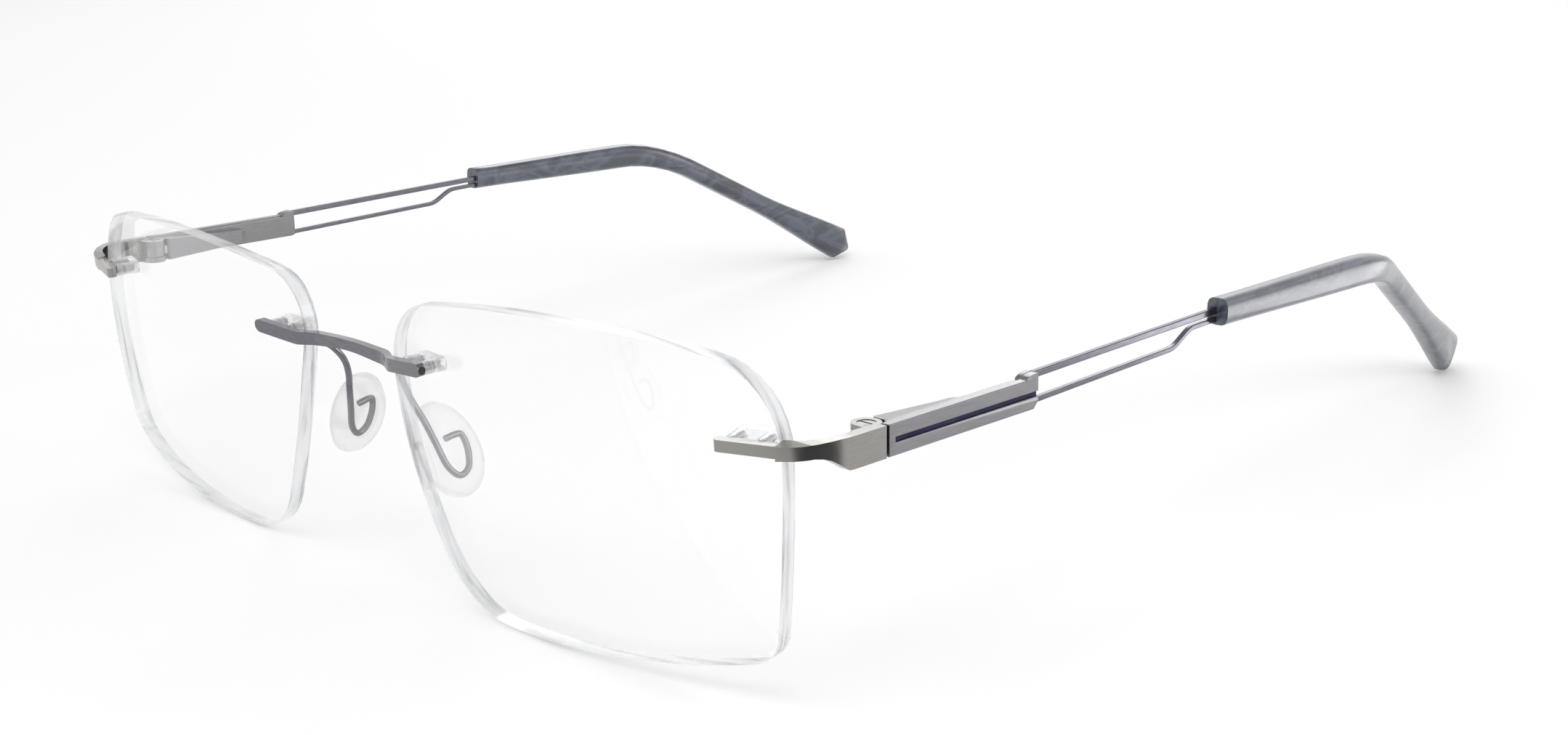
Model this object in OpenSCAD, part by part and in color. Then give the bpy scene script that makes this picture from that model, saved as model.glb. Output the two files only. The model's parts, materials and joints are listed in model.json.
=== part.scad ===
// Rimless eyeglasses: drilled lenses, a bridge bar, two bent endpieces and two spring-hinged temples.
// Everything is drawn for the wearer's left side (+X) with the lens plane upright, then mirrored for
// the right side, and last leant onto the surface that the open frame stands on. The temples run +Y.

/* [Lenses] */
// Distance between the two lens centres
lens_pitch = 71.8; // [70:0.1:74]
// Turn of each lens about the vertical, as its outer edge goes back
lens_wrap = 5.2; // [4:0.1:6]
// Radius of the lens's front surface
lens_front_radius = 114; // [105:1:130]
// Thickness of each lens
lens_thickness = 1.8; // [1.7:0.1:2]
// Radius of each hole drilled in a lens
lens_hole_radius = 0.75; // [0.72:0.01:0.8]

/* [Bridge and endpieces] */
// Height of the bridge's posts above the lens centres
bridge_height = 9.25; // [8.8:0.1:9.3]
// Height of the bridge bar at its middle
bridge_bar_height = 1.25; // [1.1:0.05:1.5]
// Thickness of the bridge bar, front to back
bridge_bar_depth = 0.9; // [0.8:0.05:1.1]
// Height of the endpiece's posts above the lens centres
endpiece_height = 8.8; // [8.6:0.1:9]
// Height of the endpiece arm on the lens
endpiece_arm_height = 1.2; // [1.1:0.1:1.4]
// Thickness of the endpiece band
endpiece_band = 1.15; // [1:0.05:1.2]
// Bend radius of the endpiece band, at its middle
endpiece_bend = 4.6; // [4:0.1:5.4]
// Radius of the metal posts that enter the lens
post_radius = 0.45; // [0.4:0.01:0.48]

/* [Temples] */
// Height of the cover plate
plate_height = 3.2; // [3:0.1:3.4]
// Length of the cover plate behind the hinge
plate_length = 22.9; // [22:0.1:24]
// Distance from the hinge to the front of the acetate tip
tip_start = 55.9; // [54:0.1:58]
// Distance from the hinge to the bend over the ear
bend_distance = 93; // [88:0.1:96]
// Length of the tip past the bend
drop_length = 43.8; // [40:0.5:48]
// Angle by which the tip drops behind the ear
drop_angle = 29; // [24:0.5:34]
// Angle by which the tip turns in behind the ear
tuck_angle = 10.5; // [8:0.5:12]
// Angle of the temples below the line square to the lenses
temple_drop = 3.8; // [3:0.1:4.5]

/* [Nose pads] */
// Height of each nose pad
pad_length = 11.6; // [11:0.1:13]
// Width of each nose pad
pad_width = 8; // [7.5:0.1:9]
// Thickness of each nose pad at its middle
pad_thickness = 2.6; // [2.2:0.1:3]
// Radius of the pad arm's wire
pad_wire_radius = 0.38; // [0.35:0.01:0.45]

/* [Hidden] */
left = 1;
right = -1;
$fn = 48;
fit_gap = 0.03;      // running clearance on a radius, and the gap between seated faces
seat_gap = 0.06;     // gap where a flat part lies against the curved lens

// How the open frame stands: on the lens bottoms and the tip ends
rest_tilt = 1.19;
lens_centre_height = 17.7;
middle_y = 71.86;

// Lens outline: four wide side arcs, each [middle point, outward direction, radius], joined by
// corner arcs that touch both neighbours. They run temporal, top, nasal, bottom.
lens_sides = [[[26.9, 5.3], -1, 93],
              [[0, 17.9], 90.4, 133],
              [[-24.1, -3.2], 199.4, 64],
              [[-7, -17.7], 271, 140]];
lens_corner_radii = [9.2, 6.9, 10.5, 3.9];
corner_steps = 8;
side_steps = 14;
sphere_steps = 200;        // facets round the spheres that shape the lenses and the pads
lens_blank_front = 2;      // the block each lens is cut from, before and behind its front's middle
lens_blank_back = 12;
cut_margin = 2;            // how far a cutting shape runs past the part it cuts

// Where the arms meet the lens
bridge_mount_u = -23;
endpiece_mount_u = 23.3;
post_spacing = 3.2;
bridge_end_reach = 3;      // from the middle of the two posts to the arm's free end
endpiece_end_reach = 2.95;
post_reach = lens_thickness + 0.6;
plug_depth = 0.9;
plug_height = 1.6;
plug_gap = 0.22;           // between the plug and the hollow back of the lens
sleeve_radius = lens_hole_radius - fit_gap;
sleeve_front = 0.25;       // how far behind the lens's front the plug's sleeves begin
foot_drop = 0.8;           // how far below its middle a flat foot first touches the curved lens

// Bridge bar: it steps back between the lenses, and its arms rise towards their ends
bridge_back_y = 1.55;
bridge_step_start = 6;
bridge_step_end = 9.3;
bridge_arch = 0.4;
bridge_rise = 5.5;
bridge_low_x = 8.5;
bridge_arm_half = 0.76;
bridge_steps = 44;

// Hinge: a vertical screw through two ears of the endpiece and the slider's knuckle between them
hinge_x = 65.3;
hinge_y = 14.3;
hinge_z = 8.1;
knuckle_radius = 1.5;
slider_knuckle_radius = 1.38;
knuckle_half = 0.7;
ear_gap = 0.05;
screw_radius = 0.6;
bush_radius = 0.95;
screw_head_radius = 0.9;
screw_head_depth = 0.5;
screw_recess = 0.1;        // how far the screw stays below the face of the ear
slot_width = 0.28;
slot_depth = 0.25;
ear_root = 3.2;            // length of the wall that joins the ears to the band
ear_wall = 1.4;
ear_overlap = 0.6;
neck_width = 1.4;          // the slider between its knuckle and its rod
neck_height = 1.2;
thread_gap = 0.01;
seam_gap = 0.05;
seam_angle = 6;            // each plate opens this far past straight before it meets the endpiece

// Temple layers, as distances in X from the hinge axis
plate_outer = 2.6;
plate_thickness = 1;
core_thickness = 0.7;
core_inner = plate_outer - plate_thickness - core_thickness;
core_start = 1.35;
inner_half = 1.45;         // half height of the core, the ears and the housing's front
groove_height = 0.5;
groove_z = -0.06;
groove_depth = 0.45;
inlay_depth = 0.25;
inlay_end_gap = 0.1;
groove_start = 1.25;
housing_start = 1.7;
housing_end = 14;
housing_inner = -0.9;
housing_middle_half = 0.96;
housing_rear_half = 0.85;
housing_bore = 0.68;
housing_wall = 0.8;
rod_radius = 0.3;
rod_end = 10.2;
nut_length = 1.2;
coil_radius = 0.49;
coil_wire = 0.11;
coil_turns = 9;
coil_sides = 8;
coil_steps = 16;
coil_gap = 0.05;           // between each end of the coil and its seat
shoulder_start = 21.1;
shoulder_steps = 8;

// Wires of the temple, as heights above the plate's middle line
wire_inner = 1.3;
wire_width = 0.65;
upper_wire_height = 0.74;
lower_wire_height = 0.56;
upper_wire_front_z = 1.7;
upper_wire_rear_z = 2.4;
lower_wire_front_z = -1.03;
lower_wire_kink_z = -0.38;
wire_spacing = 0.98;       // between the two wires behind the kink
kink_start = 47.2;
kink_end = 51.8;
kink_steps = 8;
wire_grip = 4;             // how far both wires run into the tip

// Acetate tip
tip_x = 2.1;
tip_z = 2.4;
tip_sag = 0.3;             // how much lower its middle line runs at the bend
tip_bend_height = 3.7;
tip_drop_height = 3.1;
tip_flare_length = 22;
tip_front_height = 3.1;
tip_end_height = 5.7;
tip_front_width = 2.7;
tip_end_width = 2.9;
tip_end_round = 3;
tip_end_blunt = 0.02;      // keeps the last ring open, so that the tip ends in a small flat
tip_squareness = 0.6;      // power that turns the round section into a rounded rectangle
tip_bend_radius = 28;
tip_rings = 30;
tip_sides = 20;
core_wire_radius = 0.5;
core_hole_radius = 0.56;
core_hole_margin = 9;
core_front_gap = 0.05;
core_end_gap = 0.1;
core_rings = 20;
core_sides = 8;

// Nose pad and its arm: the wire's bends from the bridge down, then its loop in the pad's own
// plane, each [towards the rear, up] from the pad's centre
pad_centre = [8.6, 6.9, -2.4];
pad_turn = [13, -20, -8];
pad_crown_radius = 16;
pad_taper = 0.08;
pad_steps = 40;
pad_lift_height = 0.5;     // the arms are bent by hand: the right pad sits higher, the left lower
lift_bends = 2;            // number of bends over which an arm takes up that difference
pad_arm_bends = [[7.5, 1.9, 8.7], [6.3, 3.1, 7.3], [5.75, 4.1, 5.4], [5.9, 4.6, 3.6]];
pad_loop = [[-1, 4.2], [-1, 1.2], [-1, -1.6], [-0.2, -3.2], [1.2, -2.9],
            [2.1, -1.2], [2.3, 0.4], [1.9, 1], [0.2, 1.2]];
pad_wire_steps = 4;
pad_wire_sides = 12;

function polar(r, a) = [r * cos(a), r * sin(a)];
function angle_of(v) = atan2(v[1], v[0]);
function unit(v) = v / norm(v);
function smooth(t) = let(s = min(1, max(0, t))) s * s * (3 - 2 * s);
function mix(a, b, t) = a + (b - a) * t;
function ahead(a, start) = a < start ? a + 360 : a;
function arc(c, r, a0, a1, n) = [for (i = [0 : n]) c + polar(r, a0 + (a1 - a0) * i / n)];
// The closed outline between two edges whose points run the same way
function between(low, high) = concat(low, [for (i = [len(high) - 1 : -1 : 0]) high[i]]);

// The point at distance r1 from c1 and r2 from c2, on the left of the line from c1 to c2
function circles_meet(c1, r1, c2, r2) =
    let(d = norm(c2 - c1), e = (c2 - c1) / d, a = (r1 * r1 - r2 * r2 + d * d) / (2 * d))
    c1 + a * e + sqrt(r1 * r1 - a * a) * [-e[1], e[0]];

function side_centre(i) = let(s = lens_sides[i % 4]) s[0] - polar(s[2], s[1]);
function side_radius(i) = lens_sides[i % 4][2];
function corner_centre(i) =
    let(r = lens_corner_radii[i % 4])
    circles_meet(side_centre(i), side_radius(i) - r, side_centre(i + 1), side_radius(i + 1) - r);

// One corner of the lens and the side that follows it
function corner_and_side(i) =
    let(from = angle_of(corner_centre(i) - side_centre(i)),
        turn = ahead(angle_of(corner_centre(i) - side_centre(i + 1)), from),
        to = ahead(angle_of(corner_centre(i + 1) - side_centre(i + 1)), turn))
    concat(arc(corner_centre(i), lens_corner_radii[i], from, turn, corner_steps),
           arc(side_centre(i + 1), side_radius(i + 1), turn, to, side_steps));

// The last point of each side is left to the corner that follows
lens_outline = [for (i = [0 : 3]) let(p = corner_and_side(i)) each [for (k = [0 : len(p) - 2]) p[k]]];

// Frames of reference
module standing()
    translate([0, -middle_y, lens_centre_height]) rotate([rest_tilt, 0, 0]) children();
module sided(side) {
    if (side == left) standing() children();
    else mirror([1, 0, 0]) standing() children();
}
module at_lens() translate([lens_pitch / 2, 0, 0]) rotate([0, 0, lens_wrap]) children();
// On the lens's front surface at the distance u from its middle and the height z, with +Y into the
// lens. A flat part there first meets the curved lens at its lower edge.
function foot_radius(z) = sqrt(pow(lens_front_radius, 2) - pow(z - foot_drop, 2));
function mount_turn(u, z) = asin(u / foot_radius(z));
function mount_xy(u, z) =
    let(a = mount_turn(u, z), y = lens_front_radius - foot_radius(z) * cos(a))
    [lens_pitch / 2 + u * cos(lens_wrap) - y * sin(lens_wrap), u * sin(lens_wrap) + y * cos(lens_wrap)];
module on_lens(u, z)
    translate([0, lens_front_radius, 0]) rotate([0, 0, mount_turn(u, z)])
        translate([0, -foot_radius(z), z]) children();
module at_mount(u, z) at_lens() on_lens(u, z) children();
module at_hinge() translate([hinge_x, hinge_y, hinge_z]) rotate([-temple_drop, 0, 0]) children();

// Two round bars along +Y from y0, at the post spacing
module post_pair(r, y0, length)
    for (s = [-1, 1]) translate([s * post_spacing / 2, y0, 0])
        rotate([-90, 0, 0]) cylinder(h = length, r = r);

// A bar with rounded ends, lying along X in the XZ plane and extruded along +Y
module stadium(length, height, depth)
    rotate([-90, 0, 0]) linear_extrude(depth) {
        for (s = [-1, 1]) translate([s * (length - height) / 2, 0]) circle(d = height);
        square([length - height, height], center = true);
    }

// A smooth curve through a list of points
function curve_point(a, b, c, d, t) =
    0.5 * (2 * b + (c - a) * t + (2 * a - 5 * b + 4 * c - d) * t * t
           + (3 * b - a - 3 * c + d) * t * t * t);
function curve(p, steps) =
    let(last = len(p) - 1)
    [for (i = [0 : last - 1]) for (k = [0 : steps - (i < last - 1 ? 1 : 0)])
        curve_point(p[max(0, i - 1)], p[i], p[i + 1], p[min(last, i + 2)], k / steps)];

// Rings round a curve that never runs along X
function wire_ring(p, i, r, sides) =
    let(along = unit(p[min(len(p) - 1, i + 1)] - p[max(0, i - 1)]),
        a = unit(cross(along, [1, 0, 0])),
        b = cross(along, a))
    [for (k = [0 : sides - 1]) p[i] + r * (cos(360 * k / sides) * a + sin(360 * k / sides) * b)];
module wire(p, r, sides) skin([for (i = [0 : len(p) - 1]) wire_ring(p, i, r, sides)]);

// A closed skin over rings that all have the same number of points
module skin(rings) {
    n = len(rings[0]);
    last = len(rings) - 1;
    polyhedron(
        points = [for (ring = rings) each ring],
        faces = concat(
            [[for (k = [0 : n - 1]) k]],
            [for (i = [0 : last - 1]) for (k = [0 : n - 1])
                [i * n + k, (i + 1) * n + k, (i + 1) * n + (k + 1) % n, i * n + (k + 1) % n]],
            [[for (k = [n - 1 : -1 : 0]) last * n + k]]),
        convexity = 6);
}

// ---- front ----

module lens_holes() post_pair(lens_hole_radius, -cut_margin, lens_thickness + 2 * cut_margin);

module lens(side) color([0.86, 0.9, 0.92, 0.35]) sided(side) at_lens() difference() {
    intersection() {
        rotate([90, 0, 0]) translate([0, 0, -lens_blank_back])
            linear_extrude(lens_blank_back + lens_blank_front) polygon(lens_outline);
        translate([0, lens_front_radius, 0]) sphere(r = lens_front_radius, $fn = sphere_steps);
    }
    translate([0, lens_front_radius, 0])
        sphere(r = lens_front_radius - lens_thickness, $fn = sphere_steps);
    on_lens(bridge_mount_u, bridge_height) lens_holes();
    on_lens(endpiece_mount_u, endpiece_height) lens_holes();
}

// The bridge's middle line. In plan it lies along each lens and steps back between them. Seen from
// the front its bar is a shallow arch and its arms rise towards their round ends.
bridge_lean = lens_wrap + mount_turn(bridge_mount_u, bridge_height);
bridge_mount = mount_xy(bridge_mount_u, bridge_height);
bridge_end_x = bridge_mount[0] + bridge_end_reach;
bridge_low_z = bridge_height - tan(bridge_rise) * (bridge_mount[0] - bridge_low_x);
function bridge_leg_y(x) =
    bridge_mount[1] - seat_gap - bridge_bar_depth / 2 + tan(bridge_lean) * (x - bridge_mount[0]);
function bridge_y(x) =
    mix(bridge_back_y, bridge_leg_y(abs(x)),
        smooth((abs(x) - bridge_step_start) / (bridge_step_end - bridge_step_start)));
function bridge_z(x) =
    bridge_low_z + (abs(x) < bridge_low_x ? bridge_arch * smooth(1 - abs(x) / bridge_low_x)
                                          : tan(bridge_rise) * (abs(x) - bridge_low_x));
// Half height of the bar at x, which ends in a half circle
function bridge_half(x) =
    let(over = max(0, abs(x) - bridge_end_x + bridge_arm_half),
        full = mix(bridge_bar_height / 2, bridge_arm_half, smooth(abs(x) / bridge_low_x)))
    sqrt(max(0, full * full - over * over));

module bridge() color([0.42, 0.41, 0.45]) standing() {
    xs = [for (i = [-bridge_steps : bridge_steps]) bridge_end_x * sin(90 * i / bridge_steps)];
    half = bridge_bar_depth / 2;
    block_height = 20;
    block_depth = 10;
    intersection() {
        linear_extrude(block_height) polygon(between(
            [for (x = xs) [x, bridge_y(x) - half]],
            [for (x = xs) [x, bridge_y(x) + half]]));
        translate([0, block_depth / 2, 0]) rotate([90, 0, 0]) linear_extrude(block_depth)
            polygon(between([for (x = xs) [x, bridge_z(x) - bridge_half(x)]],
                            [for (x = xs) [x, bridge_z(x) + bridge_half(x)]]));
    }
    for (side = [left, right]) mirror([side == left ? 0 : 1, 0, 0])
        at_mount(bridge_mount_u, bridge_height) post_pair(post_radius, -seat_gap - half, post_reach + half);
}

// Clear double plug: a small bar behind the lens with two sleeves that line the lens holes
module double_plug(side, u, z) color([0.88, 0.9, 0.92, 0.5]) sided(side) at_mount(u, z) {
    back = lens_thickness + plug_gap;
    difference() {
        union() {
            translate([0, back, 0]) stadium(post_spacing + plug_height, plug_height, plug_depth);
            post_pair(sleeve_radius, sleeve_front, back);
        }
        post_pair(post_radius + fit_gap, 0, back + plug_depth + cut_margin);
    }
}

// Middle line of the endpiece band, in plan: along the lens, then round to the temple's direction
endpiece_heading = lens_wrap + mount_turn(endpiece_mount_u, endpiece_height);
endpiece_mount = mount_xy(endpiece_mount_u, endpiece_height);
band_x = hinge_x + plate_outer - endpiece_band / 2;
band_line = endpiece_mount - polar(seat_gap + endpiece_band / 2, endpiece_heading + 90);
bend_start = band_line + polar(1, endpiece_heading)
    * (band_x - endpiece_bend * (1 - sin(endpiece_heading)) - band_line[0]) / cos(endpiece_heading);
bend_centre = bend_start + polar(endpiece_bend, endpiece_heading + 90);

module endpiece_band_plan() {
    half = endpiece_band / 2;
    steps = 20;
    rear_end = 0.15;       // past the hinge line, where the flare's flat end cuts the band off
    arm_start = band_line - polar(endpiece_end_reach - half, endpiece_heading);
    path = concat([arm_start], arc(bend_centre, endpiece_bend, endpiece_heading - 90, 0, steps),
                  [[band_x, hinge_y + rear_end]]);
    headings = concat([endpiece_heading],
                      [for (i = [0 : steps]) mix(endpiece_heading, 90, i / steps)], [90]);
    polygon(between([for (i = [0 : len(path) - 1]) path[i] + polar(half, headings[i] - 90)],
                    [for (i = [0 : len(path) - 1]) path[i] + polar(half, headings[i] + 90)]));
    translate(arm_start) circle(r = half);
}

// Side view of the endpiece round its bend, in the hinge's frame as [distance behind the hinge,
// height]: the band rises a little, then flares down to the block that meets the temple
flare_side_view = [[-9.7, -0.85], [-8.8, -0.45], [-8, -0.2], [-7.4, -0.22], [-6.8, -0.4],
                   [-6.2, -0.78], [-5, -plate_height / 2], [-seam_gap, -plate_height / 2],
                   [-seam_gap, plate_height / 2], [-4.6, plate_height / 2], [-6, 1.55],
                   [-7.2, 1.38], [-8.2, 1.15], [-9.7, 0.65]];
flare_from_x = -2.6;

// One ear of the hinge, between two heights
module ear(z0, z1) translate([0, 0, z0]) difference() {
    union() {
        cylinder(h = z1 - z0, r = knuckle_radius);
        translate([0, -knuckle_radius, 0])
            cube([core_inner + ear_overlap, knuckle_radius - seam_gap, z1 - z0]);
    }
    translate([0, 0, -cut_margin]) cylinder(h = z1 - z0 + 2 * cut_margin, r = screw_radius + fit_gap);
}

module endpiece(side) color([0.6, 0.6, 0.58]) sided(side) {
    arm_low = endpiece_height - endpiece_arm_height / 2;
    arm_span = 20;
    arm_overlap = 0.3;
    band_drop = 4;
    band_height = 12;
    flare_width = 6;
    ear_clearance = 0.1;
    intersection() {
        translate([0, 0, arm_low - band_drop]) linear_extrude(band_height) endpiece_band_plan();
        union() {
            translate([hinge_x + flare_from_x + arm_overlap - arm_span, -arm_span / 2, arm_low])
                cube([arm_span, arm_span, endpiece_arm_height]);
            at_hinge() translate([flare_from_x, 0, 0]) rotate([90, 0, 90])
                linear_extrude(flare_width) polygon(flare_side_view);
        }
    }
    at_mount(endpiece_mount_u, endpiece_height)
        post_pair(post_radius, -seat_gap - endpiece_band / 2, post_reach + endpiece_band / 2);
    at_hinge() difference() {
        union() {
            ear(knuckle_half + ear_gap, inner_half);
            ear(-inner_half, -knuckle_half - ear_gap);
            translate([core_inner, -ear_root, -inner_half])
                cube([ear_wall, ear_root - seam_gap, 2 * inner_half]);
        }
        translate([0, 0, -knuckle_half - ear_gap])
            cylinder(h = 2 * (knuckle_half + ear_gap), r = knuckle_radius + ear_clearance);
        translate([0, 0, inner_half - screw_head_depth])
            cylinder(h = cut_margin, r = screw_head_radius + fit_gap);
    }
}

// A point of the pad's own plane, in the drawing frame
function turn_x(v, a) = [v[0], v[1] * cos(a) - v[2] * sin(a), v[1] * sin(a) + v[2] * cos(a)];
function turn_y(v, a) = [v[0] * cos(a) + v[2] * sin(a), v[1], -v[0] * sin(a) + v[2] * cos(a)];
function turn_z(v, a) = [v[0] * cos(a) - v[1] * sin(a), v[0] * sin(a) + v[1] * cos(a), v[2]];
function pad_point(p) =
    pad_centre + turn_z(turn_y(turn_x([0, p[0], p[1]], pad_turn[0]), pad_turn[1]), pad_turn[2]);
function pad_lift(side) = [0, 0, -side * pad_lift_height];
function pad_arm_points(side) =
    concat([for (i = [0 : len(pad_arm_bends) - 1])
               pad_arm_bends[i] + min(1, i / lift_bends) * pad_lift(side)],
           [for (p = pad_loop) pad_point(p) + pad_lift(side)]);

module pad_arm(side) color([0.42, 0.41, 0.45]) sided(side)
    wire(curve(pad_arm_points(side), pad_wire_steps), pad_wire_radius, pad_wire_sides);

module pad_crown(way)
    translate([way * (pad_crown_radius - pad_thickness / 2), 0, 0])
        sphere(r = pad_crown_radius, $fn = sphere_steps);

module nose_pad(side) color([0.9, 0.9, 0.88, 0.6]) sided(side)
    translate(pad_centre + pad_lift(side)) rotate(pad_turn) intersection() {
        rotate([0, 90, 0]) linear_extrude(pad_thickness, center = true)
            polygon([for (i = [0 : pad_steps - 1]) let(a = 360 * i / pad_steps)
                [-pad_length / 2 * sin(a), pad_width / 2 * cos(a) * (1 - pad_taper * sin(a))]]);
        pad_crown(1);
        pad_crown(-1);
    }

// ---- hinge ----

module hinge_screw(side) color([0.55, 0.55, 0.56]) sided(side) at_hinge() difference() {
    head_height = screw_head_depth - screw_recess;
    head_base = inner_half - screw_head_depth + fit_gap;
    union() {
        translate([0, 0, -inner_half]) cylinder(h = 2 * inner_half - screw_recess, r = screw_radius);
        translate([0, 0, head_base]) cylinder(h = head_height, r = screw_head_radius);
    }
    translate([0, 0, head_base + head_height])
        cube([2 * screw_head_radius + 1, slot_width, 2 * slot_depth], center = true);
}

module hinge_bush(side) color([0.92, 0.9, 0.84]) sided(side) at_hinge() difference() {
    translate([0, 0, -knuckle_half]) cylinder(h = 2 * knuckle_half, r = bush_radius);
    translate([0, 0, -cut_margin]) cylinder(h = 2 * cut_margin, r = screw_radius + fit_gap);
}

module hinge_slider(side) color([0.58, 0.58, 0.58]) sided(side) at_hinge() difference() {
    union() {
        translate([0, 0, -knuckle_half]) cylinder(h = 2 * knuckle_half, r = slider_knuckle_radius);
        translate([-neck_width / 2, 0, -neck_height / 2])
            cube([neck_width, housing_start - fit_gap, neck_height]);
        rotate([-90, 0, 0]) cylinder(h = rod_end, r = rod_radius);
    }
    translate([0, 0, -cut_margin]) cylinder(h = 2 * cut_margin, r = bush_radius + fit_gap);
}

module slider_nut(side) color([0.5, 0.5, 0.5]) sided(side) at_hinge()
    translate([0, rod_end - nut_length, 0]) rotate([-90, 0, 0]) difference() {
        cylinder(h = nut_length, r = housing_bore - fit_gap);
        translate([0, 0, -cut_margin])
            cylinder(h = nut_length + 2 * cut_margin, r = rod_radius + thread_gap);
    }

// Coil round the rod, between the housing's front wall and the nut
spring_front = housing_start + housing_wall + coil_wire + coil_gap;
spring_rear = rod_end - nut_length - coil_wire - coil_gap;
function coil_ring(i) =
    let(t = i / (coil_turns * coil_steps),
        a = 360 * coil_turns * t,
        y = mix(spring_front, spring_rear, t))
    [for (k = [0 : coil_sides - 1]) let(b = 360 * k / coil_sides, r = coil_radius + coil_wire * cos(b))
        [r * cos(a), y + coil_wire * sin(b), r * sin(a)]];

module hinge_spring(side) color([0.7, 0.7, 0.72]) sided(side) at_hinge()
    skin([for (i = [0 : coil_turns * coil_steps]) coil_ring(i)]);

// ---- temple ----

// Housing that gets lower towards the rear, with a blind bore for the spring
module spring_housing(side) color([0.6, 0.6, 0.6]) sided(side) at_hinge() difference() {
    bore_end = rod_end + 0.5;
    front_chamfer = 0.3;
    rear_chamfer = [0.5, 0.9];
    block_width = 4;
    intersection() {
        translate([0, 0, -inner_half]) linear_extrude(2 * inner_half)
            polygon([[core_inner, housing_start], [core_inner, housing_end],
                     [housing_inner + rear_chamfer[0], housing_end],
                     [housing_inner, housing_end - rear_chamfer[1]],
                     [housing_inner, housing_start + front_chamfer],
                     [housing_inner + front_chamfer, housing_start]]);
        translate([-block_width / 2, 0, 0]) rotate([90, 0, 90]) linear_extrude(block_width)
            polygon([[housing_start, -inner_half], [bore_end, -housing_middle_half],
                     [housing_end, -housing_rear_half], [housing_end, housing_rear_half],
                     [bore_end, housing_middle_half], [housing_start, inner_half]]);
    }
    translate([0, housing_start - cut_margin, 0]) rotate([-90, 0, 0])
        cylinder(h = 2 * cut_margin, r = rod_radius + fit_gap);
    translate([0, housing_start + housing_wall, 0]) rotate([-90, 0, 0])
        cylinder(h = bore_end - housing_start - housing_wall, r = housing_bore);
}

// Both plates end in a round shoulder that rises from their top edge to the top of the upper wire
shoulder_top = upper_wire_front_z + upper_wire_height / 2;
function shoulder(edge) =
    [for (i = [0 : shoulder_steps]) let(a = 90 * i / shoulder_steps)
        [mix(plate_length, shoulder_start, sin(a)), mix(edge, shoulder_top, cos(a))]];

// Outer plate. Its front end leans back from the endpiece so that the temple can open past straight
module cover_plate(side) color([0.63, 0.63, 0.61]) sided(side) at_hinge() difference() {
    half = plate_height / 2;
    chamfer = 0.7;
    front_lean = plate_outer * tan(seam_angle);
    intersection() {
        translate([plate_outer - plate_thickness, 0, 0]) rotate([90, 0, 90])
            linear_extrude(plate_thickness)
                polygon(concat([[0, -half], [plate_length - chamfer, -half],
                                [plate_length, chamfer - half]], shoulder(half), [[0, half]]));
        translate([0, 0, -half]) linear_extrude(half + shoulder_top)
            polygon([[0, seam_gap], [plate_outer, front_lean + seam_gap],
                     [plate_outer, plate_length], [0, plate_length]]);
    }
    translate([plate_outer - groove_depth, groove_start, groove_z - groove_height / 2])
        cube([groove_depth + cut_margin, plate_length, groove_height]);
}

module plate_inlay(side) color([0.13, 0.13, 0.24]) sided(side) at_hinge()
    translate([plate_outer - groove_depth, groove_start, groove_z - groove_height / 2])
        cube([inlay_depth, plate_length - groove_start - inlay_end_gap, groove_height]);

// Flat plate behind the cover
module core_plate(side) color([0.5, 0.5, 0.5]) sided(side) at_hinge() {
    rear_chamfer = 0.6;
    translate([core_inner, 0, 0]) rotate([90, 0, 90]) linear_extrude(core_thickness)
        polygon(concat([[core_start, -inner_half], [plate_length - rear_chamfer, -inner_half],
                        [plate_length, lower_wire_front_z - lower_wire_height / 2]],
                       shoulder(inner_half), [[core_start, inner_half]]));
}

// Middle lines of the two wires. The lower one steps up towards the upper one in front of the tip
function upper_wire_z(y) =
    mix(upper_wire_front_z, upper_wire_rear_z, (y - plate_length) / (tip_start - plate_length));
function lower_wire_z(y) =
    y < kink_start
    ? mix(lower_wire_front_z, lower_wire_kink_z, (y - plate_length) / (kink_start - plate_length))
    : mix(lower_wire_kink_z, upper_wire_z(y) - wire_spacing,
          smooth((y - kink_start) / (kink_end - kink_start)));
upper_wire_ys = [plate_length, tip_start + wire_grip];
lower_wire_ys = concat([plate_length],
                       [for (i = [0 : kink_steps]) mix(kink_start, kink_end, i / kink_steps)],
                       [tip_start + wire_grip]);

// A square wire through the points [distance, height], drawn in side view
module temple_wire(points, height)
    translate([wire_inner, 0, 0]) rotate([90, 0, 90]) linear_extrude(wire_width)
        polygon(between([for (p = points) p - [0, height / 2]], [for (p = points) p + [0, height / 2]]));

module upper_wire(side) color([0.45, 0.44, 0.48]) sided(side) at_hinge()
    temple_wire([for (y = upper_wire_ys) [y, upper_wire_z(y)]], upper_wire_height);

module lower_wire(side) color([0.45, 0.44, 0.48]) sided(side) at_hinge()
    temple_wire([for (y = lower_wire_ys) [y, lower_wire_z(y)]], lower_wire_height);

// Middle line of the tip by distance s from its front: straight, round the bend, then down and in
tip_straight = bend_distance - tip_start - tip_bend_radius * tan(drop_angle / 2);
tip_turn = tip_bend_radius * drop_angle * PI / 180;
tip_down = drop_length - tip_bend_radius * tan(drop_angle / 2);
tip_length = tip_straight + tip_turn + tip_down;
function tip_angle(s) = drop_angle * min(1, max(0, (s - tip_straight) / tip_turn));
function tip_side_view(s) =
    s < tip_straight ? [tip_start + s, tip_z - tip_sag * s / tip_straight]
    : let(a = tip_angle(s), rest = max(0, s - tip_straight - tip_turn))
      [tip_start + tip_straight + tip_bend_radius * sin(a) + rest * cos(a),
       tip_z - tip_sag - tip_bend_radius * (1 - cos(a)) - rest * sin(a)];
function tip_tuck(s) =
    tan(tuck_angle) * max(0, s - tip_straight) * smooth((s - tip_straight) / tip_turn);
function tip_point(s) = let(p = tip_side_view(s)) [tip_x - tip_tuck(s), p[0], p[1]];
function squared(v) = sign(v) * pow(abs(v), tip_squareness);
function rounded(a, w, h) = [w * squared(cos(a)), h * squared(sin(a))];
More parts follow.
